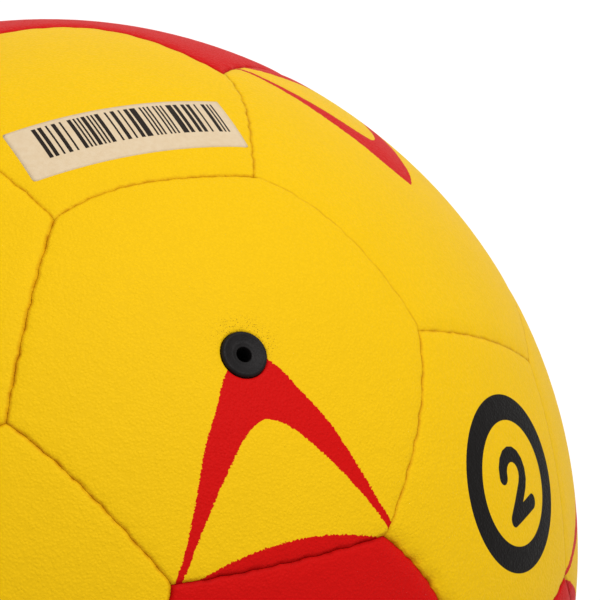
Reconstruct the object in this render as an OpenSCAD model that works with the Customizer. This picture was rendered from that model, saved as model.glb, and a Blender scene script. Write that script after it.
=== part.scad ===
/* [Ball] */
// Outside diameter of the inflated ball, from crown to crown
ball_d = 175; // [160:1:190]

/* [Cover panels] */
// Thickness of the cover skin
cover_t = 1.3; // [1:0.1:1.6]
// Thickness of the hem that is turned in along each seam
hem_t = 1.3; // [1:0.1:1.6]
// Gap between the two hems of a seam
seam_gap = 0.1; // [0.06:0.02:0.2]
// Depth of the crease of a seam below the crown
seam_depth = 0.9; // [0.6:0.1:1.1]
// Radius of the rolled shoulder on each side of a seam
shoulder_r = 6; // [5:0.5:8]

/* [Backing layers] */
// Thickness of the foam behind each panel
foam_t = 1.5; // [1:0.1:2]
// Thickness of the cloth lining behind the foam
lining_t = 1; // [0.8:0.1:1.4]
// Thickness of the glue line between two layers
glue_t = 0.05; // [0.04:0.01:0.1]

/* [Stitching] */
// Width and thickness of the square waxed thread
thread_w = 0.6; // [0.5:0.05:0.7]
// Number of stitches along each seam
stitch_count = 7; // [5:1:8]
// Distance from the end of a seam to its last stitch
stitch_margin = 3; // [2.8:0.1:4]
// Depth of the stitches below the crown
stitch_depth = 2.6; // [2.4:0.1:2.8]
// Clearance of the thread in its needle holes and beside the hems
thread_gap = 0.05; // [0.04:0.01:0.1]

/* [Bladder] */
// Wall of the rubber bladder
bladder_t = 1; // [0.8:0.1:1.4]
// Gap between the lining and the bladder
bladder_gap = 0.15; // [0.1:0.05:0.3]
// Diameter of the balance patch, inside the bladder opposite the valve
balance_d = 26; // [20:1:32]
// Thickness of the balance patch
balance_t = 1.2; // [0.8:0.1:1.6]

/* [Valve] */
// Diameter of the plug's head, which shows in the valve panel
head_d = 7.4; // [6.8:0.1:8.4]
// Height of the head's rim above the crown
head_proud = 0.35; // [0.2:0.05:0.5]
// Radius of the head's rounded rim
rim_r = 0.5; // [0.3:0.1:0.7]
// Depth of the dish in the head
dish_depth = 0.4; // [0.2:0.05:0.5]
// Height of the lip round the needle hole, above the bottom of the dish
lip_h = 0.25; // [0.1:0.05:0.3]
// Width of the lip round the needle hole
lip_w = 0.5; // [0.3:0.1:0.6]
// Gap round the head in the panel's hole
head_gap = 0.1; // [0.08:0.02:0.2]
// Diameter of the plug's stem
stem_d = 5; // [4.4:0.1:5.6]
// Length of the plug's stem below its head
stem_l = 12; // [11:0.5:16]
// Running clearance of the plug in its housing
plug_gap = 0.05; // [0.03:0.01:0.08]
// Diameter of the needle channel
needle_d = 2.4; // [2:0.1:2.6]
// Length of the needle channel, down to the closed lips
needle_l = 10; // [8:0.5:12]
// Outside diameter of the valve housing
housing_d = 11; // [9.5:0.5:13]
// Distance from the underside of the valve panel to the top of the housing
housing_drop = 0.35; // [0.3:0.05:0.5]
// Length of the housing below the end of the stem
housing_tail = 1.5; // [1:0.1:3]
// Diameter of the flange that is bonded inside the bladder
flange_d = 30; // [24:1:36]
// Thickness of the flange
flange_t = 1.2; // [0.8:0.1:1.6]
// Clearance round the housing, in the backing and in the bladder
housing_gap = 0.1; // [0.05:0.05:0.2]

/* [Label] */
// Length of the label
label_l = 37; // [30:1:38]
// Height of the label
label_h = 12; // [8:1:13]
// Thickness of the label
label_t = 0.12; // [0.1:0.02:0.2]
// Distance from the middle of its panel to the middle of the label
label_drop = 12.8; // [11:0.2:13.4]
// Shift of the label along its length
label_shift = 0; // [-1:0.2:1]
// Distance from the middle of a seam at which the label stops
label_inset = 1; // [0.6:0.1:2]

/* [Hidden] */
$fn = 96;
RED_COUNT = 10;
STRIPED_COUNT = 9;
PLAIN_COUNT = 10;
function numbered(name, count) = [for (i = [1:count]) str(name, "_", i)];

// Overrun of every cut
over = 0.5;
// How far a shoulder's circle reaches past the crown, so that the two cross cleanly
shoulder_lift = 0.03;

// Radii of the layers, from the outside in
ball_r = ball_d / 2;
foam_r = ball_r - cover_t - glue_t;
lining_r = foam_r - foam_t - glue_t;
inner_r = lining_r - lining_t;
bladder_r = inner_r - bladder_gap;
bladder_in_r = bladder_r - bladder_t;
patch_r = bladder_in_r - glue_t;
stitch_r = ball_r - stitch_depth;

// Insets from the middle of a seam: outer face of the hem, its inner face, and the edge of the backing
hem_out = seam_gap / 2;
hem_in = hem_out + hem_t;
rail_inset = hem_in + thread_gap + thread_w / 2;
backing_inset = rail_inset + thread_w / 2 + thread_gap;
// Width of the thread where it crosses the hems, drawn tighter there, and radius of its needle hole
rung_w = thread_w - 2 * thread_gap;
needle_hole_r = rung_w / sqrt(2) + thread_gap;

// Heights along the valve's axis
head_top = ball_r + head_proud;
housing_top = ball_r - cover_t - housing_drop;
head_seat = housing_top + plug_gap;
stem_end = head_seat - stem_l;
housing_end = stem_end - housing_tail;
dish_bottom = head_top - dish_depth;
lip_top = dish_bottom + lip_h;
needle_end = lip_top - needle_l;

// The truncated icosahedron: 12 pentagons at the corners of an icosahedron, 20 hexagons at its faces
GOLDEN = (1 + sqrt(5)) / 2;
RING_1 = acos(sqrt((5 + 2 * sqrt(5)) / 15));
RING_2 = acos(sqrt((5 - 2 * sqrt(5)) / 15));
PENTAGON_SIDES = 5;
HEXAGON_SIDES = 6;
edge_share = 2 / sqrt(1 + 9 * GOLDEN * GOLDEN);
edge_angle = 2 * asin(edge_share / 2);
corner_half_angle = edge_angle / 2;
// Half the angle that a shoulder's ring spans, a little past the corners of its panel
ring_half_angle = 1.3 * corner_half_angle;

// Lean of the plane through the ball's centre and a side of a flat panel with this many sides
function side_tilt(sides) =
    let (apothem = edge_share / (2 * tan(180 / sides)), corner = edge_share / (2 * sin(180 / sides)))
    atan(apothem / sqrt(1 - corner * corner));

function unit(v) = v / norm(v);
function direction(polar, azimuth) = [sin(polar) * cos(azimuth), sin(polar) * sin(azimuth), cos(polar)];
function ring(polar, first) = [for (i = [0:2]) direction(polar, first + 120 * i)];
CORNERS = concat(ring(RING_1, 30), ring(RING_2, 90), ring(180 - RING_2, 30), ring(180 - RING_1, 90));
LAST = len(CORNERS) - 1;

// Two corners are neighbours where the angle between them is that of an icosahedron's edge
function near(i, j) = i != j && CORNERS[i] * CORNERS[j] > 0.4;
FACES = [
    for (i = [0:LAST]) for (j = [i + 1:1:LAST]) for (k = [j + 1:1:LAST])
        if (near(i, j) && near(j, k) && near(i, k)) [i, j, k]
];
EDGES = [for (i = [0:LAST]) for (j = [i + 1:1:LAST]) if (near(i, j)) [i, j]];
function face_middle(face) = unit(CORNERS[face[0]] + CORNERS[face[1]] + CORNERS[face[2]]);

// The middle of a hexagon lies 37 degrees from its own three corners, and 79 degrees or more from the others
function touches(face, corner) = face_middle(face) * corner > 0.5;
function first_face(corner) = [for (f = FACES) if (touches(f, corner)) f][0];

// The red hexagons lie round this corner and the opposite one, and the valve is in the first hexagon
RED_POLE = direction(RING_2, 330);
BADGE_CORNER = direction(RING_1, 30);
LABEL_CORNER = direction(RING_1, 150);
VALVE_FACE = FACES[0];
RED_FACES = [for (f = FACES) if (touches(f, RED_POLE) || touches(f, -RED_POLE)) f];
STRIPED_FACES = [
    for (f = FACES) if (f != VALVE_FACE && !touches(f, RED_POLE) && !touches(f, -RED_POLE)) f
];
PLAIN_CORNERS = [for (corner = CORNERS) if (corner != BADGE_CORNER && corner != LABEL_CORNER) corner];

YELLOW = [0.95, 0.76, 0.1];
RED = [0.8, 0.11, 0.1];
FOAM_GREY = [0.55, 0.56, 0.55];
CLOTH_WHITE = [0.88, 0.87, 0.82];
THREAD_WHITE = [0.93, 0.92, 0.88];
RUBBER_BLACK = [0.13, 0.13, 0.14];
BLADDER_BLACK = [0.2, 0.2, 0.22];
LABEL_BEIGE = [0.93, 0.84, 0.73];

// Local frame with its height along z and its x axis leaning towards another direction
module aligned(z, towards) {
    y = unit(cross(z, towards));
    x = cross(y, z);
    multmatrix([[x[0], y[0], z[0], 0], [x[1], y[1], z[1], 0], [x[2], y[2], z[2], 0]]) children();
}

module at_face(face) {
    aligned(face_middle(face), CORNERS[face[0]]) children();
}

module at_corner(corner) {
    aligned(corner, face_middle(first_face(corner))) children();
}

// Frame of each side of a panel: z runs out through the middle of the seam, x away from the panel
module each_side(sides) {
    for (k = [0:sides - 1]) rotate([0, 0, k * 360 / sides]) rotate([0, side_tilt(sides), 0]) children();
}

// All that lies beyond the sides of a panel, once they are drawn in by the inset
module beyond_sides(sides, inset) {
    each_side(sides) translate([-inset, -ball_d, -ball_d]) cube([ball_d, 2 * ball_d, 2 * ball_d]);
}

// Ring that rolls the edge of a panel over, down to the crease
module shoulder_ring() {
    crease_r = ball_r - seam_depth;
    reach = ball_r - shoulder_r + shoulder_lift;
    middle_r = (crease_r * crease_r + reach * reach - shoulder_r * shoulder_r) / (2 * crease_r);
    middle_x = sqrt(reach * reach - middle_r * middle_r);
    start_x = middle_x * ball_r / reach;
    rotate([0, -90, 0]) rotate([0, 0, -ring_half_angle]) rotate_extrude(angle = 2 * ring_half_angle)
    difference() {
        translate([middle_r, -over]) square([shoulder_r + seam_depth + over, start_x + over]);
        translate([middle_r, middle_x]) circle(shoulder_r);
    }
}

// Outer form of a panel, down to the back of its lining
module crowned(sides) {
    difference() {
        layer(sides, ball_r, inner_r, hem_out);
        each_side(sides) shoulder_ring();
    }
}

// One layer of a panel between two radii
module layer(sides, outer_r, inner_r, inset) {
    difference() {
        sphere(outer_r);
        sphere(inner_r);
        beyond_sides(sides, inset);
    }
}

// Angles at the centre of the ball from one stitch to the next, and from the middle of a seam to a stitch
function stitch_step() =
    2 * (corner_half_angle - 2 * asin(stitch_margin / (2 * stitch_r))) / (stitch_count - 1);
function stitch_angle(i) = stitch_step() * (i - (stitch_count - 1) / 2);

// Places of the stitches along a seam, in the frame of the seam
module each_stitch() {
    for (i = [0:stitch_count - 1]) rotate([stitch_angle(i), 0, 0]) translate([0, 0, stitch_r]) children();
}

module needle_holes(sides) {
    each_side(sides) each_stitch() translate([-hem_in - over, 0, 0])
        rotate([0, 90, 0]) cylinder(r = needle_hole_r, h = hem_in + 2 * over);
}

// Cover skin of a panel, with its hem turned in along every side
module cover(sides) {
    difference() {
        crowned(sides);
        sphere(inner_r);
        difference() {
            sphere(ball_r - cover_t);
            beyond_sides(sides, hem_in);
        }
        needle_holes(sides);
    }
}

module foam(sides) {
    layer(sides, foam_r, foam_r - foam_t, backing_inset);
}

module lining(sides) {
    layer(sides, lining_r, inner_r, backing_inset);
}

// Straight hole along the valve's axis, through every layer of a panel
module valve_hole(hole_d) {
    translate([0, 0, housing_end]) cylinder(d = hole_d, h = ball_r - housing_end + over);
}

module valve_panel() {
    color(YELLOW) difference() {
        at_face(VALVE_FACE) cover(HEXAGON_SIDES);
        valve_hole(head_d + 2 * head_gap);
    }
}

module striped_panel(i) {
    color(YELLOW) at_face(STRIPED_FACES[i - 1]) cover(HEXAGON_SIDES);
}

module red_panel(i) {
    color(RED) at_face(RED_FACES[i - 1]) cover(HEXAGON_SIDES);
}

module label_panel() {
    color(YELLOW) at_corner(LABEL_CORNER) cover(PENTAGON_SIDES);
}

module badge_panel() {
    color(YELLOW) at_corner(BADGE_CORNER) cover(PENTAGON_SIDES);
}

module pentagon_panel(i) {
    color(YELLOW) at_corner(PLAIN_CORNERS[i - 1]) cover(PENTAGON_SIDES);
}

module hexagon_foam() {
    color(FOAM_GREY) for (f = concat(STRIPED_FACES, RED_FACES)) at_face(f) foam(HEXAGON_SIDES);
}

module pentagon_foam() {
    color(FOAM_GREY) for (corner = CORNERS) at_corner(corner) foam(PENTAGON_SIDES);
}

module valve_foam() {
    color(FOAM_GREY) difference() {
        at_face(VALVE_FACE) foam(HEXAGON_SIDES);
        valve_hole(housing_d + 2 * housing_gap);
    }
}

module hexagon_lining() {
    color(CLOTH_WHITE) for (f = concat(STRIPED_FACES, RED_FACES)) at_face(f) lining(HEXAGON_SIDES);
}

module pentagon_lining() {
    color(CLOTH_WHITE) for (corner = CORNERS) at_corner(corner) lining(PENTAGON_SIDES);
}

module valve_lining() {
    color(CLOTH_WHITE) difference() {
        at_face(VALVE_FACE) lining(HEXAGON_SIDES);
        valve_hole(housing_d + 2 * housing_gap);
    }
}

// Saddle stitch of one seam: the thread crosses both hems at every hole and runs along their inner faces
module seam_thread() {
    rail_angle = stitch_step() * (stitch_count - 1) + 2 * asin(rung_w / stitch_r);
    for (side = [-1, 1]) translate([side * rail_inset, 0, 0])
        rotate([0, -90, 0]) rotate([0, 0, -rail_angle / 2]) rotate_extrude(angle = rail_angle)
            translate([stitch_r - thread_w / 2, -thread_w / 2]) square(thread_w);
    each_stitch() translate([-rail_inset, -rung_w / 2, -rung_w / 2]) cube([2 * rail_inset, rung_w, rung_w]);
}

module hexagon_seam_thread() {
    color(THREAD_WHITE) for (e = EDGES)
        aligned(unit(CORNERS[e[0]] + CORNERS[e[1]]), cross(CORNERS[e[0]], CORNERS[e[1]])) seam_thread();
}

module pentagon_seam_thread() {
    color(THREAD_WHITE) for (corner = CORNERS) at_corner(corner) each_side(PENTAGON_SIDES) seam_thread();
}

module bladder() {
    color(BLADDER_BLACK) difference() {
        sphere(bladder_r);
        sphere(bladder_in_r);
        valve_hole(housing_d + 2 * housing_gap);
    }
}

// Round patch that follows the inside of the bladder
module bladder_patch(patch_d, patch_t) {
    intersection() {
        difference() {
            sphere(patch_r);
            sphere(patch_r - patch_t);
        }
        cylinder(d = patch_d, h = ball_r);
    }
}

module valve_housing() {
    color(RUBBER_BLACK) difference() {
        union() {
            bladder_patch(flange_d, flange_t);
            translate([0, 0, housing_end]) cylinder(d = housing_d, h = housing_top - housing_end);
        }
        translate([0, 0, housing_end - over])
            cylinder(d = stem_d + 2 * plug_gap, h = housing_top - housing_end + 2 * over);
    }
}

// Outer form of the plug's head, with its rounded rim and the dish in its face
module plug_head() {
    dish_w = head_d / 2 - rim_r;
    dish_r = (dish_w * dish_w + dish_depth * dish_depth) / (2 * dish_depth);
    difference() {
        rotate_extrude() {
            translate([0, head_seat]) square([head_d / 2, head_top - rim_r - head_seat]);
            translate([0, head_seat]) square([head_d / 2 - rim_r, head_top - head_seat]);
            translate([head_d / 2 - rim_r, head_top - rim_r]) circle(rim_r);
        }
        translate([0, 0, dish_bottom + dish_r]) sphere(dish_r);
    }
}

module valve_plug() {
    color(RUBBER_BLACK) difference() {
        union() {
            plug_head();
            translate([0, 0, stem_end]) cylinder(d = stem_d, h = stem_l + over);
            translate([0, 0, head_seat]) cylinder(d = needle_d + 2 * lip_w, h = lip_top - head_seat);
        }
        translate([0, 0, needle_end]) cylinder(d = needle_d, h = needle_l + over);
    }
}

module balance_patch() {
    color(RUBBER_BLACK) mirror([0, 0, 1]) bladder_patch(balance_d, balance_t);
}

module barcode_label() {
    color(LABEL_BEIGE) at_corner(LABEL_CORNER) intersection() {
        layer(PENTAGON_SIDES, ball_r + glue_t + label_t, ball_r + glue_t, label_inset);
        translate([label_drop - label_h / 2, label_shift - label_l / 2, 0])
            cube([label_h, label_l, ball_d]);
    }
}

valve_panel();
for (i = [1:STRIPED_COUNT]) striped_panel(i);
for (i = [1:RED_COUNT]) red_panel(i);
label_panel();
badge_panel();
for (i = [1:PLAIN_COUNT]) pentagon_panel(i);
hexagon_foam();
pentagon_foam();
valve_foam();
hexagon_lining();
pentagon_lining();
valve_lining();
hexagon_seam_thread();
pentagon_seam_thread();
bladder();
valve_housing();
valve_plug();
balance_patch();
barcode_label();
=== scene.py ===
# Handball with a pull-out inflation plug, seen close up from above its valve.
import math
import bpy
import numpy as np
from mathutils import Matrix, Vector


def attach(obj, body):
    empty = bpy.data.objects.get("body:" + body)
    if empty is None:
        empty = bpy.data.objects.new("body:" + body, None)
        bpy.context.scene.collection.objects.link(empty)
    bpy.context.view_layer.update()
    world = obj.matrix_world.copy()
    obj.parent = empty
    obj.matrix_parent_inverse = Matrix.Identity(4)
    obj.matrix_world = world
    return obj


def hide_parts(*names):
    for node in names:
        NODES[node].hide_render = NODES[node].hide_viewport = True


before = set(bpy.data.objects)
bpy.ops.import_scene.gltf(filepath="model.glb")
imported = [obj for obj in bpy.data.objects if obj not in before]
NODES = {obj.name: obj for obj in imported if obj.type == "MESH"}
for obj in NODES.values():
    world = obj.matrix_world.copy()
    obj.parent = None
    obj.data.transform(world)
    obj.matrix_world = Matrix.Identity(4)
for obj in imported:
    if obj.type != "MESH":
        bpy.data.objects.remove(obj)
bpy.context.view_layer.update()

MM = 0.001
TURN = 6.28            # a whole turn, for the seeded phases
BALL_R = 87.5          # mm, radius over the cover
EDGE_POINTS = 48       # points along one seam
COVER_T = 1.25         # mm, thickness of the cover
HEM_DEPTH = 2.2        # mm, how deep the turned edge of a panel reaches
HEM_BEND = 1.5         # mm, depth at which the turned edge leaves the cover
HEM_W = 2.3            # mm, width of the turned edge
SEAM_CLEAR = 0.025     # mm, half of the gap between two panels
CREASE_DEPTH = 0.26    # mm, depth of the crease below its shoulders
CREASE_W = 0.7         # mm, reach of the crease to each side
FALL_DEPTH = 0.3       # mm, fall of the shoulders toward the crease
FALL_W = 3.2           # mm, reach of the shoulders
STITCH_SHARE = 0.16    # how much deeper and shallower the stitches make the crease
DIMPLE_DEPTH = 0.03    # mm, small dimples beside the crease
DIMPLE_W = 1.1         # mm, how fast those dimples fade
WAVE_DEPTH = 0.04      # mm, slow waves of the whole panel
WAVES = 6              # how many waves add up on one panel
WAVE_TURN = 0.2        # radians per mm, the fastest of those waves
CALM_ENDS = 9          # one over the share of a seam in which the stitches calm down to its ends
CLOSED_MARGIN = 0.35   # mm by which a closed seam counts as farther away, so its shade fades
FLAT_BOW = 0.7         # power that makes the bow of a seam flat on top
ROUND_BOW = 1.0        # the same for a seam that bows more than DEEP_BOW
DEEP_BOW = 5.0         # mm
VALVE_HOLE_R = 3.78    # mm
HOLE_LIP = 0.6         # mm, width of the rounded lip of that hole
HOLE_WALL = 0.7        # mm, depth of the row of points halfway down its wall
FAR = 99.0             # mm, farther from a seam than any point of a panel


# layout: a pentagon lies on each corner of an icosahedron and a hexagon on each of its faces
def unit(v):
    v = np.asarray(v, float)
    return v / np.linalg.norm(v, axis=-1, keepdims=True)


def polar(tilt, turn):
    """The direction tilted away from +Z and then turned round it, both in degrees."""
    tilt, turn = math.radians(tilt), math.radians(turn)
    return np.array([math.sin(tilt) * math.cos(turn), math.sin(tilt) * math.sin(turn), math.cos(tilt)])


# the tilt of the corners in the two upper rings, in degrees; the middle of a face is on top
UPPER = math.degrees(math.acos(math.sqrt((5 + 2 * math.sqrt(5)) / 15)))
MIDDLE = math.degrees(math.acos(math.sqrt((5 - 2 * math.sqrt(5)) / 15)))
CORNERS = [polar(tilt, turn) for tilt, turns in (
    (UPPER, (30, 150, 270)), (MIDDLE, (90, 210, 330)),
    (180 - MIDDLE, (30, 150, 270)), (180 - UPPER, (90, 210, 330))) for turn in turns]
ALL = range(len(CORNERS))
NEAR_COSINE = 0.4        # the cosine between neighbours is 0.447, between others it is below zero
NEAR = {i: [j for j in ALL if j != i and CORNERS[i] @ CORNERS[j] > NEAR_COSINE] for i in ALL}
FACES = [(i, j, k) for i in ALL for j in NEAR[i] for k in NEAR[i] if i < j < k and k in NEAR[j]]
BADGE, LABEL = 0, 1      # the pentagons with the printed number and with the label
RED_POLES = (5, 7)       # two opposite pentagons, each with five red hexagons round it

# where the seams of this hand-sewn ball leave the regular pattern, in mm along and across the edge i-j
SHIFTS = {
    (1, 2): (1.8, -0.3), (2, 1): (-1.0, 1.5), (2, 0): (-2.5, 0.4), (0, 2): (1.3, -0.3),
    (0, 1): (0.6, 1.2), (1, 0): (-0.2, -2.2), (1, 3): (-3.9, -4.7), (0, 3): (0.0, 1.3),
    (0, 6): (-3.3, -0.7), (1, 7): (-1.5, 3.0),
}
# how far the seam between two junctions bows to the side, and how far that bow leans, in mm
BOWS = {
    ((1, 2), (1, 0)): (2.0, 0.4), ((1, 2), (2, 1)): (-0.4, 0.0), ((2, 1), (2, 0)): (0.9, 0.1),
    ((2, 0), (0, 2)): (-0.5, 0.0), ((0, 2), (0, 1)): (-1.5, 0.2), ((0, 1), (1, 0)): (-3.0, 0.3),
    ((1, 0), (1, 3)): (-1.1, 0.3), ((0, 1), (0, 3)): (0.6, 0.0), ((1, 2), (1, 4)): (-1.1, 0.1),
    ((0, 2), (0, 5)): (0.9, 0.6), ((1, 3), (1, 7)): (-8.4, 1.1), ((1, 3), (3, 1)): (3.5, -0.3),
    ((0, 3), (0, 6)): (-1.5, 0.0), ((2, 0), (2, 5)): (1.5, 0.2),
}
# how deep and open a crease is, and how far its shoulders fall, as shares of the usual depths
CREASES = {
    ((1, 2), (1, 0)): (0.55, 1.0), ((0, 2), (0, 1)): (0.55, 0.8), ((0, 1), (1, 0)): (0.07, 0.4),
    ((1, 0), (1, 3)): (0.5, 0.6), ((0, 1), (0, 3)): (0.45, 0.8), ((0, 2), (0, 5)): (0.8, 3.0),
    ((1, 3), (1, 7)): (0.8, 1.2), ((1, 3), (3, 1)): (0.8, 1.2), ((2, 0), (0, 2)): (1.2, 1.1),
    ((2, 1), (2, 0)): (0.85, 0.8), ((1, 2), (1, 4)): (0.5, 0.7), ((1, 2), (2, 1)): (0.95, 0.9),
    ((2, 0), (2, 5)): (1.7, 1.2), ((0, 3), (3, 0)): (0.2, 0.5), ((0, 3), (0, 6)): (0.2, 0.5),
}
SMALL_SHIFT = 0.4                # mm, the most that a junction moves where nothing is known of it
SMALL_BOW = (1.2, 0.25)          # mm, the most that such a seam bows and leans
STITCHES = (6.9, 7.9)            # fewest and most puckers along a seam
DRIFT, DRIFT_WAVES = 0.6, (1.2, 2.4)    # how much and how often their spacing drifts along a seam
RIPPLE_FADE = 7                  # one over the share of a seam in which the ripple fades to its ends
RIPPLE_GAIN = 0.6                # how much of the shoulders' fall share goes into the ripple
# the small side steps that the stitches make in a seam: mm, steps per stitch, phase
RIPPLES = ((0.08, 1.0, 0.0), (0.05, 1.9, 1.0), (0.03, 4.3, 0.0))


SHIFT_DRAWS, WAVE_DRAWS = 5, 77    # keep the draws for the junctions and for the waves apart
PENTAGON_KEYS = 40                 # the keys of the pentagons start here, past those of the hexagons


def seeded(*key):
    """A random source that depends only on the key."""
    number = 17
    for k in key:
        number = (number * 1009 + int(k) + 31) % 2147483647
    return np.random.RandomState(number)


def junction(i, j):
    """The point where three seams meet, a third of the way from corner i to corner j."""
    a, b = CORNERS[i], CORNERS[j]
    v = unit(2 * a + b)
    along = unit(b - a * (a @ b))
    along = unit(along - v * (v @ along))
    side = np.cross(v, along)
    shift = SHIFTS.get((i, j))
    if shift is None:
        shift = seeded(i, j, SHIFT_DRAWS).uniform(-SMALL_SHIFT, SMALL_SHIFT, 2)
    return unit(v + (along * shift[0] + side * shift[1]) / BALL_R)


JUNCTIONS = {(i, j): junction(i, j) for i in ALL for j in NEAR[i]}


def seam_line(p, q):
    """The line of one seam from junction p to junction q, its stitch phase and its crease shares."""
    turned = (q, p) in BOWS or ((p, q) not in BOWS and p > q)
    first, last = (q, p) if turned else (p, q)
    a, b = JUNCTIONS[first], JUNCTIONS[last]
    angle = math.acos(float(a @ b))
    t = np.linspace(0, 1, EDGE_POINTS + 1)
    line = (np.sin((1 - t) * angle)[:, None] * a + np.sin(t * angle)[:, None] * b) / math.sin(angle)
    across = unit(np.cross(a, b))
    # the stitches are a phase that grows along the seam and drifts a little
    rng = seeded(*first, *last)
    stitch_count, phase = rng.uniform(*STITCHES), rng.uniform(0, TURN)
    drift, drift_phase = rng.uniform(*DRIFT_WAVES), rng.uniform(0, TURN)
    stitches = 2 * np.pi * stitch_count * t + phase + DRIFT * np.sin(2 * np.pi * t * drift + drift_phase)
    crease = CREASES.get((first, last), (1.0, 1.0))
    fade = np.clip(np.minimum(t, 1 - t) * RIPPLE_FADE, 0, 1) * max(1.0, RIPPLE_GAIN * crease[1])
    ripple = sum(step * np.sin(stitches * pace + start) for step, pace, start in RIPPLES)
    height, lean = BOWS.get((first, last), rng.uniform(-np.array(SMALL_BOW), SMALL_BOW))
    power = ROUND_BOW if abs(height) > DEEP_BOW else FLAT_BOW
    side = height * np.abs(np.sin(np.pi * t)) ** power + lean * np.sin(2 * np.pi * t)
    line = unit(line + across * ((side + ripple * fade) / BALL_R)[:, None])
    if turned:
        return line[::-1], stitches[::-1], crease
    return line, stitches, crease


def basis(z, x):
    """Three axes as rows: z, x turned square to it, and the y between them."""
    z = unit(z)
    y = unit(np.cross(z, x))
    return np.array([np.cross(y, z), y, z])


def flat(axes, points):
    """Distances in mm from the panel's middle, measured over the ball."""
    q = points @ axes.T
    angle = np.arccos(np.clip(q[:, 2], -1, 1))
    turn = np.arctan2(q[:, 1], q[:, 0])
    return BALL_R * np.stack([angle * np.cos(turn), angle * np.sin(turn)], 1)


def raised(axes, xy):
    """The reverse of flat: directions from the ball's middle."""
    angle = np.hypot(xy[:, 0], xy[:, 1]) / BALL_R
    turn = np.arctan2(xy[:, 1], xy[:, 0])
    local = np.stack([np.sin(angle) * np.cos(turn), np.sin(angle) * np.sin(turn), np.cos(angle)], 1)
    return local @ axes


CHUNK = 4000    # points that are measured at once, to save memory


def line_distance(xy, line):
    """The distance in mm from each point to the nearest stretch of one seam."""
    a, d = line[:-1], np.diff(line, axis=0)
    length2 = (d * d).sum(1)
    best = np.empty(len(xy))
    for start in range(0, len(xy), CHUNK):
        p = xy[start:start + CHUNK, None, :]
        t = np.clip(((p - a) * d).sum(2) / length2, 0, 1)
        best[start:start + CHUNK] = np.linalg.norm(p - (a + d * t[..., None]), axis=2).min(1)
    return best


class Panel:
    """One cover panel: its seams, its own axes and the shape of its skin."""

    def __init__(self, z, x, corners, key):
        self.axes = basis(z, x)
        self.seams, phases = [], []
        for p, q in zip(corners, corners[1:] + corners[:1]):
            line, stitches, crease = seam_line(p, q)
            self.seams.append((flat(self.axes, line), crease))
            phases.append(stitches[:-1])
        self.phase = np.concatenate(phases)
        along = np.tile(np.arange(EDGE_POINTS) / EDGE_POINTS, len(corners))
        self.calm = np.clip(np.minimum(along, 1 - along) * CALM_ENDS, 0, 1)
        outline = np.concatenate([line[:-1] for line, _ in self.seams])
        tangent = np.roll(outline, -1, 0) - np.roll(outline, 1, 0)
        inward = np.stack([-tangent[:, 1], tangent[:, 0]], 1)
        inward /= np.linalg.norm(inward, axis=1)[:, None]
        inward *= np.sign(-(inward * outline).sum(1))[:, None]
        clear = np.repeat([SEAM_CLEAR * min(1.0, crease[0]) for _, crease in self.seams], EDGE_POINTS)
        self.edge = outline + inward * clear[:, None]
        rng = seeded(key, WAVE_DRAWS)
        self.waves = [(rng.uniform(-WAVE_TURN, WAVE_TURN), rng.uniform(-WAVE_TURN, WAVE_TURN),
                       rng.uniform(0, TURN)) for _ in range(WAVES)]

    def drop(self, xy, phase=None, calm=1.0):
        """How far the skin lies under the full radius, and the distance to the nearest crease, in mm."""
        down, nearest = np.zeros(len(xy)), np.full(len(xy), FAR)
        for line, (open_share, fall_share) in self.seams:
            d = line_distance(xy, line)
            fold = CREASE_DEPTH * open_share * np.clip(1 - d / CREASE_W, 0, None) ** 2
            shoulder = FALL_DEPTH * fall_share * np.clip(1 - d / FALL_W, 0, None) ** 2
            down = np.maximum(down, fold + shoulder)
            nearest = np.minimum(nearest, d + CLOSED_MARGIN * (1 - min(1.0, open_share)))
        if phase is not None:
            down = down * (1 + STITCH_SHARE * calm * np.sin(phase))
            down += DIMPLE_DEPTH * calm * np.exp(-nearest / DIMPLE_W) * (1 + np.sin(2.1 * phase + 0.7))
        relief = sum(np.sin(a * xy[:, 0] + b * xy[:, 1] + c) for a, b, c in self.waves) / WAVES
        return down + WAVE_DEPTH * (1 + relief), nearest


def hexagon(face, toward):
    """The panel on one face of the icosahedron; its own x axis points toward the given direction."""
    i, j, k = face
    middle = unit(CORNERS[i] + CORNERS[j] + CORNERS[k])
    return Panel(middle, toward, [(i, j), (j, i), (j, k), (k, j), (k, i), (i, k)], FACES.index(face))


def pentagon(i, toward):
    """The panel on corner i; its own x axis points toward the given direction."""
    axes = basis(CORNERS[i], toward)
    turns = {n: math.atan2(axes[1] @ CORNERS[n], axes[0] @ CORNERS[n]) for n in NEAR[i]}
    return Panel(CORNERS[i], toward, [(i, n) for n in sorted(NEAR[i], key=turns.get)], PENTAGON_KEYS + i)


def link_mesh(name, points, faces):
    mesh = bpy.data.meshes.new(name)
    mesh.from_pydata([tuple(p) for p in points], [], faces)
    mesh.validate()
    mesh.polygons.foreach_set("use_smooth", [True] * len(mesh.polygons))
    mesh.update()
    piece = bpy.data.objects.new(name, mesh)
    bpy.context.scene.collection.objects.link(piece)
    return piece


def mark(piece, values):
    """Stores where each point lies on its panel, in mm, for the material."""
    layer = piece.data.attributes.new("panel_mm", "FLOAT_VECTOR", "POINT")
    layer.data.foreach_set("vector", np.asarray(values, np.float32).ravel())


def quads(row, next_row, count):
    """The faces between two closed rows of points."""
    a, b = row * count, next_row * count
    sides = [(c, (c + 1) % count) for c in range(count)]
    return [(a + c, a + n, b + n, b + c) for c, n in sides]


def fan(row, centre, count, outward):
    """The faces between a closed row of points and one point in its middle."""
    a = row * count
    sides = [(a + c, a + (c + 1) % count) for c in range(count)]
    return [(c, n, centre) if outward else (n, c, centre) for c, n in sides]


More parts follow.
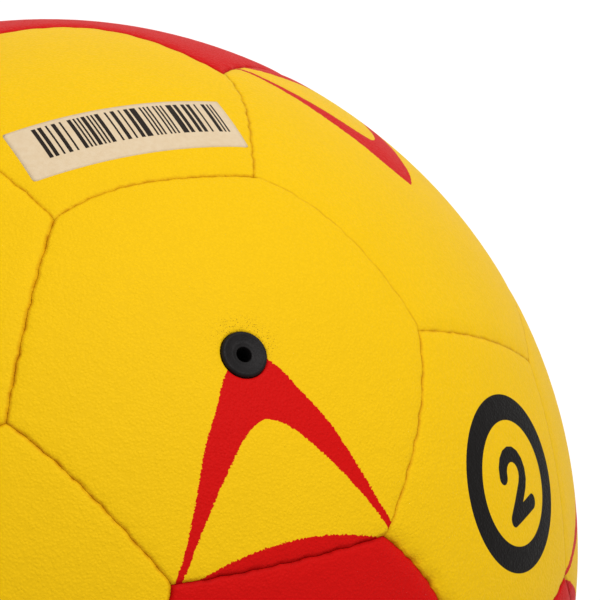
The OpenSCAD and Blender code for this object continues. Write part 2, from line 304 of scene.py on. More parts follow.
# the rows of points on a panel's shoulder, in mm from its edge, close together beside the crease
SHOULDER_ROWS = (0, 0.05, 0.13, 0.22, 0.33, 0.46, 0.62, 0.85, 1.15, 1.5, 1.95, 2.5, 3.2, 4.2, 5.6, 7.4)
CROWN_ROWS = 9                                # even rows from there on
CROWN_END, CROWN_END_AT_HOLE = 0.8, 7.0       # mm from the middle, where those rows end
HOLE_APPROACH = (0.4, 0.8, 1.0)               # rows from there to the ring round the hole, as shares
HOLE_RING = 0.9                               # mm from the hole to that ring
LIP_ROWS = (HOLE_LIP, 0.35, 0.16, 0.05, 0.0)  # mm from the hole, rows on its lip
UNDER_ROWS = (16.0, 8.0, 3.2, HEM_W + 0.1)    # mm from the edge, rows on the underside


def sew_panel(name, panel, material, hole=None):
    """A panel as a closed skin: crown, rounded shoulders, turned edge and underside."""
    count = len(panel.edge)
    apothem = np.hypot(*panel.edge.T).min()
    inner = CROWN_END if hole is None else CROWN_END_AT_HOLE
    crown_rows = np.linspace(SHOULDER_ROWS[-1], apothem - inner, CROWN_ROWS + 1)[1:]
    steps = np.array([*SHOULDER_ROWS, *crown_rows]) / apothem
    grid = [panel.edge * (1 - s) for s in steps]
    if hole is not None:
        turn = np.arctan2(panel.edge[:, 1], panel.edge[:, 0])
        circle = np.stack([np.cos(turn), np.sin(turn)], 1)
        last = np.hypot(*grid[-1].T)[:, None]
        start = hole + HOLE_RING
        grid += [circle * (last * (1 - w) + start * w) for w in HOLE_APPROACH]
        grid += [circle * (hole + r) for r in LIP_ROWS]
    rows, marks = [], []
    for xy in grid:
        down, d = panel.drop(xy, panel.phase, panel.calm)
        if hole is not None:
            lip = np.clip(1 - (np.hypot(*xy.T) - hole) / HOLE_LIP, 0, 0.999)
            down = down + HOLE_LIP / 2 * (1 - np.sqrt(1 - lip ** 2))
        rows.append(raised(panel.axes, xy) * (BALL_R - down)[:, None])
        marks.append(np.column_stack([xy, d]))
    # the underside, from the middle out to the turned edge
    edge, rim = grid[0], grid[-1]
    under = [(rim, BALL_R - COVER_T)]
    if hole is not None:
        under = [(rim, BALL_R - HOLE_WALL)] + under
    for inset in UNDER_ROWS:
        under.append((edge * (1 - inset / apothem), BALL_R - COVER_T))
    under += [(edge * (1 - HEM_W / apothem), BALL_R - HEM_DEPTH), (edge, BALL_R - HEM_DEPTH)]
    under += [(edge, BALL_R - HEM_BEND)]
    for xy, radius in under:
        rows.append(raised(panel.axes, xy) * radius)
        marks.append(np.column_stack([xy, panel.drop(xy)[1]]))
    top, total = len(grid), len(rows)
    faces = []
    for r in range(total):
        if hole is not None or r != top - 1:
            faces += quads(r, (r + 1) % total, count)
    if hole is None:
        faces += fan(top - 1, total * count, count, True) + fan(top, total * count + 1, count, False)
        middle = np.zeros((1, 2))
        outward = raised(panel.axes, middle)
        rows += [outward * (BALL_R - panel.drop(middle)[0][0]), outward * (BALL_R - COVER_T)]
        marks += [np.array([[0, 0, FAR]])] * 2
    piece = link_mesh(name, np.concatenate(rows) * MM, faces)
    mark(piece, np.concatenate(marks))
    piece.data.materials.append(material)
    return piece


# materials
def linear(r, g, b):
    """The linear colour of an 8-bit screen colour, by the sRGB curve."""
    shares = [c / 255 for c in (r, g, b)]
    return tuple(c / 12.92 if c <= 0.04045 else ((c + 0.055) / 1.055) ** 2.4 for c in shares) + (1.0,)


class Paint:
    """Builds one procedural material from small steps."""

    def __init__(self, name):
        self.material = bpy.data.materials.new(name)
        self.material.use_nodes = True
        self.tree = self.material.node_tree
        self.shader = self.tree.nodes["Principled BSDF"]

    def put(self, kind, *values, out=0, **settings):
        node = self.tree.nodes.new(kind)
        for key, value in settings.items():
            setattr(node, key, value)
        for socket, value in zip(node.inputs, values):
            self.give(socket, value)
        return node.outputs[out]

    def give(self, socket, value):
        if isinstance(value, bpy.types.NodeSocket):
            self.tree.links.new(value, socket)
        elif value is not None:
            socket.default_value = value

    def math(self, operation, *values):
        return self.put("ShaderNodeMath", *values, operation=operation)

    def blend(self, factor, a, b, how="MIX"):
        node = self.tree.nodes.new("ShaderNodeMix")
        node.data_type, node.blend_type = "RGBA", how
        self.give(node.inputs[0], factor)
        self.give(node.inputs[6], a)
        self.give(node.inputs[7], b)
        return node.outputs[2]

    def spot(self):
        """Where the point lies on its panel, and how far it is from a seam, in mm."""
        return self.put("ShaderNodeAttribute", attribute_name="panel_mm", out=1)

    def object_mm(self):
        where = self.put("ShaderNodeTexCoord", out=3)
        return self.put("ShaderNodeVectorMath", where, (1000.0, 1000.0, 1000.0), operation="MULTIPLY")

    def noise(self, where, scale, detail=3.0, rough=0.55):
        node = self.tree.nodes.new("ShaderNodeTexNoise")
        self.give(node.inputs["Vector"], where)
        node.inputs["Scale"].default_value = scale
        node.inputs["Detail"].default_value = detail
        node.inputs["Roughness"].default_value = rough
        return node.outputs[0]

    def cells(self, where, scale):
        node = self.tree.nodes.new("ShaderNodeTexVoronoi")
        self.give(node.inputs["Vector"], where)
        node.inputs["Scale"].default_value = scale
        return node.outputs["Distance"]

    def span(self, value, a, b, c=0.0, d=1.0, smooth=True):
        """Maps a..b to c..d and stays at c and d beyond."""
        node = self.tree.nodes.new("ShaderNodeMapRange")
        node.interpolation_type = "SMOOTHSTEP" if smooth else "LINEAR"
        for socket, v in zip(node.inputs, (value, a, b, c, d)):
            self.give(socket, v)
        return node.outputs[0]

    def curve(self, value, points):
        """A smooth line through the points, with both scales divided by the last x."""
        width = points[-1][0]
        node = self.tree.nodes.new("ShaderNodeFloatCurve")
        line = node.mapping.curves[0]
        line.points[0].location = (points[0][0] / width, points[0][1] / width)
        line.points[1].location = (points[-1][0] / width, points[-1][1] / width)
        for x, y in points[1:-1]:
            line.points.new(x / width, y / width)
        node.mapping.update()
        self.give(node.inputs[1], self.math("DIVIDE", value, width))
        return self.math("MULTIPLY", node.outputs[0], width)

    def bump(self, height, depth, base=None):
        """Relief of that depth in mm, on top of the relief in base."""
        node = self.tree.nodes.new("ShaderNodeBump")
        node.inputs["Strength"].default_value = 1.0
        node.inputs["Distance"].default_value = depth * MM
        self.give(node.inputs["Height"], height)
        if base is not None:
            self.give(node.inputs["Normal"], base)
        return node.outputs[0]


YELLOW = linear(240, 192, 16)
RED = linear(206, 16, 14)
INK = linear(27, 25, 24)
DUST = linear(96, 62, 22)
# the colour of the shade painted into the creases
PAINTED_CREASE_SHADE = linear(186, 118, 60)
PAPER, AGED_PAPER = linear(218, 196, 163), linear(214, 190, 155)
BAR_INK = linear(20, 8, 3)
LEATHER_SHINE = 0.04     # specular level of the cover
RUBBER_SHINE = 0.15      # the same for the plug and the label
RUBBER, RUBBER_BLOOM, RUBBER_DUST = linear(18, 15, 15), linear(27, 24, 24), linear(80, 76, 66)
PUCKER_RELIEF, PEBBLE_RELIEF, GRAIN_RELIEF = 0.12, 0.04, 0.06    # mm, on the cover
RUBBER_RELIEF, FILM_RELIEF = 0.05, 0.04                          # mm, on the plug and the label


def darker(colour, share):
    return tuple(c * share for c in colour[:3]) + (1.0,)


PRINT_EDGE = 0.05      # mm, half of the soft edge of a print
PRINT_RAG = 0.21       # mm, how ragged that edge is
ARCH_TIP = -1.6        # mm from the panel's middle, the outer tip of the arch
ARCH_HOLLOW = 10.33    # mm, the tip of its inner side
CRESCENT = 28.95       # mm, where the crescent begins in the middle
CRESCENT_BEND = 0.0095 # 1/mm, how fast it draws back to the sides
# the two sides of the arch: mm down from the tip, mm to the side; the last point ends beyond the panel
ARCH_OUTER = ((0, 0), (1.5, 1.9), (3.1, 3.4), (5.3, 5.2), (8.2, 6.9), (13.7, 10.4), (22.2, 14.4),
              (29.4, 17.9), (40, 25))
ARCH_INNER = ((0, 0), (0.87, 2.3), (2.47, 4.4), (5.67, 7.3), (9.47, 10.5), (12.47, 12.8),
              (15.87, 15.3), (18.27, 16.9), (30, 25))


def printed_arch(p, x, y, wobble, fit):
    """The mask of the arch and the crescent under it, laid on the panel by fit."""
    x = p.math("MULTIPLY_ADD", x, fit[0], fit[1])
    y = p.math("MULTIPLY_ADD", x, fit[4], p.math("MULTIPLY_ADD", y, fit[2], fit[3]))
    side = p.math("ADD", p.math("ABSOLUTE", y), wobble)
    outer = p.curve(p.math("SUBTRACT", x, ARCH_TIP), ARCH_OUTER)
    inner = p.curve(p.math("SUBTRACT", x, ARCH_HOLLOW), ARCH_INNER)
    in_outer = p.span(p.math("SUBTRACT", outer, side), -PRINT_EDGE, PRINT_EDGE)
    in_outer = p.math("MULTIPLY", in_outer, p.span(x, ARCH_TIP - 0.1, ARCH_TIP + 0.05))
    in_inner = p.span(p.math("SUBTRACT", inner, side), -PRINT_EDGE, PRINT_EDGE)
    in_inner = p.math("MULTIPLY", in_inner, p.span(x, ARCH_HOLLOW - 0.08, ARCH_HOLLOW + 0.07))
    band = p.math("MULTIPLY", in_outer, p.math("SUBTRACT", 1.0, in_inner))
    bow = p.math("MULTIPLY_ADD", p.math("MULTIPLY", y, y), CRESCENT_BEND, CRESCENT)
    crescent = p.span(p.math("SUBTRACT", p.math("ADD", x, wobble), bow), -PRINT_EDGE, PRINT_EDGE)
    return p.math("MAXIMUM", band, crescent)


def length(p, x, y):
    return p.math("SQRT", p.math("ADD", p.math("MULTIPLY", x, x), p.math("MULTIPLY", y, y)))


def along_axis(p, x, y, axis):
    """How far the point (x, y) lies along an axis."""
    return p.math("ADD", p.math("MULTIPLY", x, axis[0]), p.math("MULTIPLY", y, axis[1]))


def within(p, away, radius):
    """1 where away is less than radius, with the soft edge of a print."""
    return p.span(away, radius + PRINT_EDGE, radius - PRINT_EDGE)


def stroke(p, x, y, a, b, half):
    """1 within half of the line from a to b."""
    dx, dy = b[0] - a[0], b[1] - a[1]
    length2 = dx * dx + dy * dy
    px, py = p.math("SUBTRACT", x, a[0]), p.math("SUBTRACT", y, a[1])
    t = along_axis(p, px, py, (dx / length2, dy / length2))
    t = p.put("ShaderNodeClamp", t, 0.0, 1.0)
    ex = p.math("SUBTRACT", px, p.math("MULTIPLY", t, dx))
    ey = p.math("SUBTRACT", py, p.math("MULTIPLY", t, dy))
    return within(p, length(p, ex, ey), half)


RING_OUTER, RING_INNER = 14.2, 10.0        # mm, radii of the ring
RING_MIDDLE = (-0.2, -2.6)                 # mm, its place on the panel
NUMERAL_RIGHT, NUMERAL_UP = (-0.64, -0.77), (0.77, -0.64)    # its directions on the panel
STROKE_HALF = 1.25                         # mm, half of the numeral's line
BOWL_R, BOWL_Y = 3.2, 1.5                  # mm, the round top of the numeral
BOWL_TURNS = range(165, -56, -22)          # degrees, the points on that round top
FOOT_LEFT, FOOT_RIGHT, FOOT_Y = -3.4, 3.6, -4.8    # mm, its foot
TWO = [(BOWL_R * math.cos(math.radians(a)), BOWL_Y + BOWL_R * math.sin(math.radians(a)))
       for a in BOWL_TURNS]
TWO += [(FOOT_LEFT, FOOT_Y), (FOOT_RIGHT, FOOT_Y)]


def printed_number(p, x, y):
    """The mask of a plain numeral two and the ring round it."""
    bx, by = p.math("SUBTRACT", x, RING_MIDDLE[0]), p.math("SUBTRACT", y, RING_MIDDLE[1])
    away = length(p, bx, by)
    mask = p.math("SUBTRACT", within(p, away, RING_OUTER), within(p, away, RING_INNER))
    right = along_axis(p, bx, by, NUMERAL_RIGHT)
    up = along_axis(p, bx, by, NUMERAL_UP)
    for a, b in zip(TWO[:-1], TWO[1:]):
        mask = p.math("MAXIMUM", mask, stroke(p, right, up, a, b, STROKE_HALF))
    return mask


DUST_FROM, DUST_TO = 4.4, 8.2    # mm from the valve's middle, where the dust thins out
DUST_COVER = 0.8                 # how much of the cover a speck hides


def valve_dust(p, where, x, y):
    """Fine dark specks of rubber dust on the cover, on the upper side of the valve."""
    away = length(p, x, y)
    toward = p.math("DIVIDE", p.math("SUBTRACT", p.math("MULTIPLY", y, 0.5), x), away)
    amount = p.math("MULTIPLY", p.span(away, DUST_FROM, DUST_TO, 1.0, 0.0), p.span(toward, -0.5, 0.9))
    specks = p.span(p.cells(where, 3.6), 0.34, 0.16)
    some = p.span(p.math("ADD", p.noise(where, 2.4, 1.0), p.math("MULTIPLY", amount, 0.3)), 0.58, 0.72)
    return p.math("MULTIPLY", p.math("MULTIPLY", specks, some), p.math("MULTIPLY", amount, DUST_COVER))


# how the arch is stretched and shifted along its panel, stretched and shifted across it, and slanted
ARCH_REGULAR = (1.0, 0.0, 1.0, 0.0, 0.0)
ARCH_BY_VALVE = (1.0, 0.0, 1.0, -0.22, 0.023)
ARCH_AT_RIGHT = (1.072, -0.723, 1.141, 0.34, 0.0)
ARCH_AT_EDGE = (1.0, 0.0, 0.9, 0.0, 0.0)


def leather(name, ground, art=None, fit=ARCH_REGULAR, dusty=False):
    """Printed synthetic leather with a fine pebble grain; art is "arch", "number" or nothing."""
    p = Paint(name)
    spot, where = p.spot(), p.object_mm()
    axes = p.tree.nodes.new("ShaderNodeSeparateXYZ")
    p.give(axes.inputs[0], spot)
    x, y, seam = axes.outputs
    # the ground: mottled, with a fine grain
    fine = p.noise(where, 3.2, 3.0, 0.65)
    pebbles = p.cells(where, 1.9)
    patches = p.noise(where, 0.09, 3.0)
    colour = p.blend(p.span(patches, 0.3, 0.7, 0.0, 0.25), ground, darker(ground, 0.93))
    colour = p.blend(p.span(fine, 0.4, 0.75, 0.0, 0.45), colour, darker(ground, 0.86))
    colour = p.blend(p.span(pebbles, 0.35, 0.75, 0.0, 0.45), colour, darker(ground, 0.9))
    # the print, with ragged edges
    if art == "arch":
        wobble = p.span(p.noise(where, 2.6, 3.0), 0.3, 0.7, -PRINT_RAG, PRINT_RAG, smooth=False)
        mask = printed_arch(p, x, y, wobble, fit)
        ink = p.blend(p.span(fine, 0.35, 0.7, 0.0, 0.35), RED, darker(RED, 0.75))
        colour = p.blend(mask, colour, ink)
    if art == "number":
        colour = p.blend(printed_number(p, x, y), colour, INK)
    if dusty:
        colour = p.blend(valve_dust(p, where, x, y), colour, DUST)
    # painted shade: the creases are darker and warmer, unevenly along the seam
    uneven = p.span(p.noise(where, 0.7), 0.35, 0.65, 0.55, 1.25)
    depth = p.math("MULTIPLY", p.span(seam, 0.04, 0.7, 0.5, 0.0), uneven)
    colour = p.blend(depth, colour, p.blend(1.0, colour, PAINTED_CREASE_SHADE, "MULTIPLY"))
    p.give(p.shader.inputs["Base Color"], colour)
    # relief: slow waves with puckers beside the seams, then pebbles, then the fine grain
    low = p.noise(where, 0.5, 2.0)
    pucker = p.math("MULTIPLY", p.noise(where, 1.1, 4.0), p.span(seam, 0.3, 3.4, 1.0, 0.0))
    normal = p.bump(p.math("ADD", low, pucker), PUCKER_RELIEF)
    normal = p.bump(p.span(pebbles, 0.1, 0.7, 1.0, 0.0), PEBBLE_RELIEF, base=normal)
    normal = p.bump(fine, GRAIN_RELIEF, base=normal)
    p.give(p.shader.inputs["Normal"], normal)
    p.give(p.shader.inputs["Roughness"], p.span(fine, 0.3, 0.7, 0.48, 0.6))
    p.shader.inputs["Specular IOR Level"].default_value = LEATHER_SHINE
    return p.material


def plain(name, colour, shade, rough, scale, depth, weave=None):
    """A material for the layers under the cover: foam, cloth, thread or rubber."""
    p = Paint(name)
    where = p.object_mm()
    grain = p.noise(where, scale, 4.0)
    if weave == "cloth":
        node = p.tree.nodes.new("ShaderNodeTexWave")
        p.give(node.inputs["Vector"], where)
        node.inputs["Scale"].default_value = 1.6
        node.inputs["Distortion"].default_value = 0.4
        grain = p.math("ADD", node.outputs["Fac"], p.math("MULTIPLY", grain, 0.5))
    if weave == "foam":
        cells = p.span(p.cells(where, 2.2), 0.1, 0.6)
        grain = p.math("ADD", cells, p.math("MULTIPLY", grain, 0.4))
    p.give(p.shader.inputs["Base Color"], p.blend(p.span(grain, 0.3, 0.8), colour, shade))
    p.give(p.shader.inputs["Normal"], p.bump(grain, depth))
    p.give(p.shader.inputs["Roughness"], p.span(grain, 0.2, 0.9, rough - 0.06, rough + 0.06))
    return p.material


def rubber_head(name):
    """Matte black rubber with a faint bloom and a little dust."""
    p = Paint(name)
    where = p.object_mm()
    fine, broad = p.noise(where, 4.0, 4.0), p.noise(where, 0.7, 3.0)
    colour = p.blend(p.span(broad, 0.35, 0.7), RUBBER, RUBBER_BLOOM)
    colour = p.blend(p.span(fine, 0.66, 0.76, 0.0, 0.1), colour, RUBBER_DUST)
    p.give(p.shader.inputs["Base Color"], colour)
    p.give(p.shader.inputs["Normal"], p.bump(fine, RUBBER_RELIEF))
    p.give(p.shader.inputs["Roughness"], p.span(fine, 0.3, 0.7, 0.46, 0.62))
    p.shader.inputs["Specular IOR Level"].default_value = RUBBER_SHINE
    return p.material


BARS_FROM, BARS_TO = -14.4, 17.05          # mm along the label
BARS_LOW, BARS_HIGH = -4.95, 2.45          # mm across it
BAR_MODULES = 3.0                          # modules per mm
BAR_STEP, BAR_SWAY, BAR_TURN = 0.4142, 0.25, 0.9     # what a module adds, and how that sum sways
BAR_EDGE = 0.1                             # mm, soft ends of the bars


def label_film(name):
    """Pale paper film with plain bars: a module is black where the rest of its sum is over a half."""
    p = Paint(name)
    spot, where = p.spot(), p.object_mm()
    axes = p.tree.nodes.new("ShaderNodeSeparateXYZ")
    p.give(axes.inputs[0], spot)
    along, across, _ = axes.outputs
    paper = p.blend(p.span(p.noise(where, 1.1, 3.0), 0.3, 0.7), PAPER, AGED_PAPER)
    module = p.math("FLOOR", p.math("MULTIPLY", along, BAR_MODULES))
    sway = p.math("MULTIPLY", p.math("SINE", p.math("MULTIPLY", module, BAR_TURN)), BAR_SWAY)
    step = p.math("ADD", p.math("MULTIPLY", module, BAR_STEP), sway)
    bars = p.math("GREATER_THAN", p.math("SUBTRACT", step, p.math("FLOOR", step)), 0.5)
    lengthwise = p.math("MULTIPLY", p.span(along, BARS_FROM, BARS_FROM + BAR_EDGE),
                        p.span(along, BARS_TO, BARS_TO - BAR_EDGE))
    crosswise = p.math("MULTIPLY", p.span(across, BARS_LOW, BARS_LOW + BAR_EDGE),
                       p.span(across, BARS_HIGH, BARS_HIGH - BAR_EDGE))
    ink = p.math("MULTIPLY", bars, p.math("MULTIPLY", p.math("MULTIPLY", lengthwise, crosswise), 0.99))
    p.give(p.shader.inputs["Base Color"], p.blend(ink, paper, BAR_INK))
    p.give(p.shader.inputs["Normal"], p.bump(p.noise(where, 3.0, 3.0), FILM_RELIEF))
    p.shader.inputs["Roughness"].default_value = 0.5
    p.shader.inputs["Specular IOR Level"].default_value = RUBBER_SHINE
    return p.material


yellow_arch = leather("cover_yellow_arch", YELLOW, "arch")
yellow_arch_valve = leather("cover_yellow_arch_valve", YELLOW, "arch", ARCH_BY_VALVE, dusty=True)
yellow_arch_right = leather("cover_yellow_arch_right", YELLOW, "arch", ARCH_AT_RIGHT)
yellow_arch_far = leather("cover_yellow_arch_far", YELLOW, "arch", ARCH_AT_EDGE)
yellow_plain = leather("cover_yellow", YELLOW)
yellow_number = leather("cover_yellow_number", YELLOW, "number")
red_leather = leather("cover_red", RED)
CLOTH = linear(226, 222, 210)
UNDER = {
    "foam": plain("backing_foam", linear(214, 206, 184), linear(186, 176, 150), 0.9, 1.5, 0.15, "foam"),
    "lining": plain("lining_cloth", CLOTH, linear(196, 190, 176), 0.86, 2.0, 0.12, "cloth"),
    "thread": plain("seam_thread", linear(232, 226, 208), linear(188, 178, 152), 0.7, 6.0, 0.06, "cloth"),
    "bladder": plain("bladder_rubber", linear(38, 36, 34), linear(56, 52, 48), 0.6, 0.8, 0.08),
    "housing": plain("housing_rubber", linear(30, 30, 29), linear(46, 44, 42), 0.56, 2.2, 0.06),
    "patch": plain("patch_rubber", linear(58, 54, 50), linear(82, 76, 70), 0.66, 1.8, 0.08),
}

# the cover
# ten hexagons are red, five round each of two opposite pentagons; the others have the arch
striped = [f for f in FACES if not any(r in f for r in RED_POLES)]
red = [f for f in FACES if f not in striped]


def red_side(face):
    """The direction from a striped panel toward the red panel that it touches."""
    i, j, k = face
    for a, b in ((i, j), (i, k), (j, k)):
        if any(a in f and b in f for f in red):
            return CORNERS[a] + CORNERS[b]


def place(piece, node):
    """Lets a piece of the ball stand for one node of the CAD model."""
    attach(piece, "ball")
    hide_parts(node)


ARCH_LEATHERS = {(0, 1, 3): yellow_arch_right, (0, 3, 6): yellow_arch_far}
for number, face in enumerate(striped):
    panel = hexagon(face, red_side(face))
    if number == 0:
        skin = sew_panel("cover_valve", panel, yellow_arch_valve, VALVE_HOLE_R)
        place(skin, "valve_panel")
    else:
        skin = sew_panel(f"cover_striped_{number}", panel, ARCH_LEATHERS.get(face, yellow_arch))
        place(skin, f"striped_panel_{number}")
for number, face in enumerate(red, 1):
    skin = sew_panel(f"cover_red_{number}", hexagon(face, CORNERS[face[0]]), red_leather)
    place(skin, f"red_panel_{number}")

valve_middle = np.array([0.0, 0.0, 1.0])
badge_panel = pentagon(BADGE, valve_middle)
place(sew_panel("cover_number", badge_panel, yellow_number), "badge_panel")
label_panel = pentagon(LABEL, valve_middle)
place(sew_panel("cover_label", label_panel, yellow_plain), "label_panel")
for number, corner in enumerate((c for c in ALL if c not in (BADGE, LABEL)), 1):
    skin = sew_panel(f"cover_pentagon_{number}", pentagon(corner, CORNERS[NEAR[corner][0]]), yellow_plain)
    place(skin, f"pentagon_panel_{number}")


# the label
LABEL_W, LABEL_H = 37.5, 12.0    # mm
LABEL_CORNER = 0.5               # mm, radius of its corners
LABEL_MIDDLE = (12.8, 0.0)       # mm, its place on the panel
LABEL_TURN = 2.0                 # degrees, how far it is pasted askew
LABEL_SINK = 0.33                # mm, how far its ends bend down over the shoulders at most
FILM_T = 0.1                     # mm, thickness of the film
FILM_EDGE = 0.15                 # mm, width over which its edge thins out
FILM_EDGE_T = 0.015              # mm, how far its edge stands above the cover
FILM_SINK = 0.05                 # mm, how deep its underside lies in the cover
FILM_GRID = (20, 62)             # points across it and along it


def label_sheet(name, panel, material):
    """A thin film that follows the panel under it, with rounded corners."""
    across, along = FILM_GRID
    u, v = np.meshgrid(np.linspace(-1, 1, across), np.linspace(-1, 1, along), indexing="ij")
    half_x, half_y = LABEL_H / 2, LABEL_W / 2
    x, y = u.ravel() * half_x, v.ravel() * half_y
    over_x = np.clip(np.abs(x) - (half_x - LABEL_CORNER), 0, None)
    over_y = np.clip(np.abs(y) - (half_y - LABEL_CORNER), 0, None)
    over = np.hypot(over_x, over_y)
    pull = np.where(over > LABEL_CORNER, LABEL_CORNER / np.maximum(over, 1e-6), 1.0)
    x = np.sign(x) * (np.abs(x) - over_x * (1 - pull))
    y = np.sign(y) * (np.abs(y) - over_y * (1 - pull))
    c, s = math.cos(math.radians(LABEL_TURN)), math.sin(math.radians(LABEL_TURN))
    xy = np.stack([LABEL_MIDDLE[0] + c * x + s * y, LABEL_MIDDLE[1] - s * x + c * y], 1)
    down = np.minimum(panel.drop(xy)[0], LABEL_SINK)
    direction = raised(panel.axes, xy)
    rim = np.minimum(half_y - np.abs(y), half_x - np.abs(x))
    lift = FILM_T * np.clip(rim / FILM_EDGE, 0, 1) ** 0.5
    top = direction * (BALL_R - down + FILM_EDGE_T + lift)[:, None]
    base = direction * (BALL_R - down - FILM_SINK)[:, None]
    count = across * along
    faces = []
    for a in range(across - 1):
        for b in range(along - 1):
            q = (a * along + b, a * along + b + 1, (a + 1) * along + b + 1, (a + 1) * along + b)
            faces += [q[::-1], tuple(n + count for n in q)]
    edge = list(range(along))
    edge += [a * along + along - 1 for a in range(1, across)]
    edge += [(across - 1) * along + b for b in range(along - 2, -1, -1)]
    edge += [a * along for a in range(across - 2, 0, -1)]
    for a, b in zip(edge, edge[1:] + edge[:1]):
        faces.append((a, b, b + count, a + count))
    piece = link_mesh(name, np.concatenate([top, base]) * MM, faces)
    marks = np.stack([y, x, np.zeros_like(x)], 1)
    mark(piece, np.concatenate([marks, marks]))
    piece.data.materials.append(material)
    return piece


place(label_sheet("label", label_panel, label_film("label_film")), "barcode_label")


# the valve plug
def lathe(name, profile, material):
    """Turns a closed outline of (radius, height) in mm round the valve's axis."""
    steps = 128
    turn = np.linspace(0, 2 * np.pi, steps, endpoint=False)
    rows = [np.stack([r * np.cos(turn), r * np.sin(turn), np.full(steps, z)], 1) for r, z in profile]
    faces = [face for r in range(len(rows)) for face in quads(r, (r + 1) % len(rows), steps)]
    piece = link_mesh(name, np.concatenate(rows) * MM, faces)
    piece.data.materials.append(material)
    return piece


def bend(cx, cz, radius, start, stop, steps):
    """Points on an arc, in degrees."""
    return [(cx + radius * math.cos(math.radians(a)), cz + radius * math.sin(math.radians(a)))
            for a in np.linspace(start, stop, steps)]


# heights from the ball's middle and radii, in mm
HEAD_TOP, HEAD_SEAT, HEAD_R, HEAD_ROUND, HEAD_CHAMFER = 87.85, 85.92, 3.67, 0.45, 0.15
HEAD_ROW = 86.9                       # a row of points on the side of the head
DISH_LOW, DISH_FLAT_R, DISH_FROM, DISH_TO = 87.46, 1.4, 1.45, 2.95
DISH_BEND = 0.048                     # 1/mm, how fast the dish rises
RIDGE_R, RIDGE_H, RIDGE_W = 1.8, 0.05, 0.2
NEEDLE_R, NEEDLE_LIP, BORE_END = 1.2, 0.16, 78.0
BORE_ROWS = (0.0, 4.0, 9.0)           # rows of points up the bore, from its end
STEM_R, STEM_END, NECK = 2.45, 73.95, 0.2
GROOVE, GROOVE_TOP, GROOVE_END, GROOVE_SLOPE = 0.12, 80.0, 78.2, 0.4
STEM_TIP = ((0.0, 1.25), (0.25, 0.55), (0.8, 0.0))    # in from the stem's side, up from its end
LIPS_R, LIPS_MOUTH_R, LIPS_MOUTH_H, LIPS_END = 0.08, 0.25, 0.45, 0.5
BORE_FLOOR = ((0.5, 0.28), (1.0, 0.2))                # radius, down from the end of the bore


def dish(r):
    """The shallow dish of the head, with a faint ridge round the needle bore."""
    ridge = RIDGE_H * math.exp(-((r - RIDGE_R) / RIDGE_W) ** 2)
    return DISH_LOW + DISH_BEND * (r * r - DISH_FLAT_R ** 2) + ridge


# up the needle bore, over the head, down the stem and up through the closed lips
outline = [(NEEDLE_R, BORE_END + up) for up in BORE_ROWS]
outline += bend(NEEDLE_R + NEEDLE_LIP, DISH_LOW - NEEDLE_LIP, NEEDLE_LIP, 180, 90, 5)
outline += [(r, dish(r)) for r in np.linspace(DISH_FROM, DISH_TO, 13)]
outline += bend(HEAD_R - HEAD_ROUND, HEAD_TOP - HEAD_ROUND, HEAD_ROUND, 110, 0, 10)
outline += [(HEAD_R, HEAD_ROW), (HEAD_R, HEAD_SEAT + HEAD_CHAMFER), (HEAD_R - HEAD_CHAMFER, HEAD_SEAT)]
outline += [(STEM_R + NECK, HEAD_SEAT), (STEM_R, HEAD_SEAT - NECK), (STEM_R, GROOVE_TOP)]
outline += [(STEM_R - GROOVE, GROOVE_TOP - GROOVE_SLOPE), (STEM_R - GROOVE, GROOVE_END + GROOVE_SLOPE)]
outline += [(STEM_R, GROOVE_END)]
outline += [(STEM_R - inward, STEM_END + up) for inward, up in STEM_TIP]
outline += [(LIPS_MOUTH_R, STEM_END), (LIPS_R, STEM_END + LIPS_MOUTH_H), (LIPS_R, BORE_END - LIPS_END)]
outline += [(r, BORE_END - down) for r, down in BORE_FLOOR]
plug = lathe("valve_plug_turned", outline[::-1], rubber_head("valve_rubber"))
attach(plug, "plug")
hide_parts("valve_plug")

# layers under the cover
for name, key in (
    ("hexagon_foam", "foam"), ("pentagon_foam", "foam"), ("valve_foam", "foam"),
    ("hexagon_lining", "lining"), ("pentagon_lining", "lining"), ("valve_lining", "lining"),
    ("hexagon_seam_thread", "thread"), ("pentagon_seam_thread", "thread"),
    ("bladder", "bladder"), ("valve_housing", "housing"), ("balance_patch", "patch"),
):
    layer = NODES[name]
    for socket in layer.material_slots:
        socket.material = UNDER[key]

# floor, light and camera
WHITE = (1, 1, 1, 1)
FLOOR_SIZE = 60                              # m
FLOOR_GLOW = 1.15                            # brightness of the glow that only the camera sees
FLOOR_GLOW_SHARE = 0.6                       # share of that glow in what the camera sees
AMBIENT = 0.59                               # light from all round
SOFTBOX_TOWARD = (-0.24, 0.3, 0.93)
SOFTBOX_FAR, SOFTBOX_SIZE, SOFTBOX_POWER = 1.6, 1.1, 15.3     # m, m, W

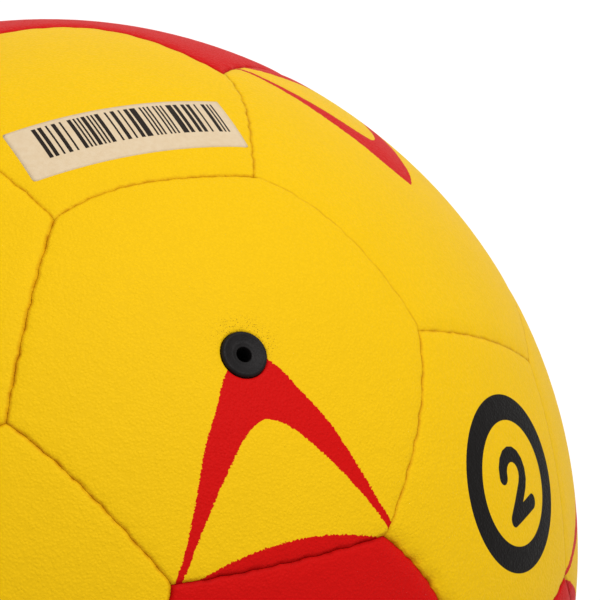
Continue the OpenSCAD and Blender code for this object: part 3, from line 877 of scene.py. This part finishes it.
floor_paint = Paint("floor_white")
lit = floor_paint.shader
lit.inputs["Base Color"].default_value = (0.9, 0.9, 0.9, 1)
lit.inputs["Roughness"].default_value = 0.8
glow = floor_paint.put("ShaderNodeEmission", WHITE, FLOOR_GLOW)
to_camera = floor_paint.put("ShaderNodeLightPath", out=0)
share = floor_paint.math("MULTIPLY", to_camera, FLOOR_GLOW_SHARE)
mixed = floor_paint.put("ShaderNodeMixShader", share, lit.outputs[0], glow)
floor_paint.tree.links.new(mixed, floor_paint.tree.nodes["Material Output"].inputs[0])
bpy.ops.mesh.primitive_plane_add(size=FLOOR_SIZE, location=(0, 0, -BALL_R * MM))
floor = bpy.context.object
floor.name = "floor"
floor.data.materials.append(floor_paint.material)

world = bpy.data.worlds.new("studio")
bpy.context.scene.world = world
world.use_nodes = True
sky = world.node_tree
ambient = sky.nodes["Background"]
ambient.inputs[0].default_value = WHITE
ambient.inputs[1].default_value = AMBIENT
seen = sky.nodes.new("ShaderNodeBackground")
seen.inputs[0].default_value = WHITE
seen.inputs[1].default_value = 1.0
path = sky.nodes.new("ShaderNodeLightPath")
either = sky.nodes.new("ShaderNodeMixShader")
sky.links.new(path.outputs[0], either.inputs[0])
sky.links.new(ambient.outputs[0], either.inputs[1])
sky.links.new(seen.outputs[0], either.inputs[2])
sky.links.new(either.outputs[0], sky.nodes["World Output"].inputs[0])

lamp = bpy.data.lights.new("softbox", "AREA")
lamp.shape, lamp.size, lamp.energy = "DISK", SOFTBOX_SIZE, SOFTBOX_POWER
softbox = bpy.data.objects.new("softbox", lamp)
bpy.context.scene.collection.objects.link(softbox)
softbox.location = Vector(SOFTBOX_TOWARD).normalized() * SOFTBOX_FAR
softbox.rotation_euler = softbox.location.to_track_quat("Z", "Y").to_euler()

# the camera of the photograph: eye in mm, its directions and its lens
EYE = Vector((-7.867, -357.554, 673.457)) * MM
LOOK = Vector((0.01190986, 0.5352321, -0.84462107))
UP = Vector((-0.69692818, 0.61015795, 0.37682674))
FOCAL_LENGTH, SENSOR_W = 275.45, 36          # mm
lens = bpy.data.cameras.new("camera")
lens.lens, lens.sensor_width = FOCAL_LENGTH, SENSOR_W
lens.clip_start, lens.clip_end = 0.01, 100
camera = bpy.data.objects.new("camera", lens)
bpy.context.scene.collection.objects.link(camera)
side = LOOK.cross(UP)
camera.matrix_world = Matrix.Translation(EYE) @ Matrix((side, UP, -LOOK)).transposed().to_4x4()
bpy.context.scene.camera = camera
bpy.context.scene.view_settings.view_transform = "Standard"

bpy.context.view_layer.update()
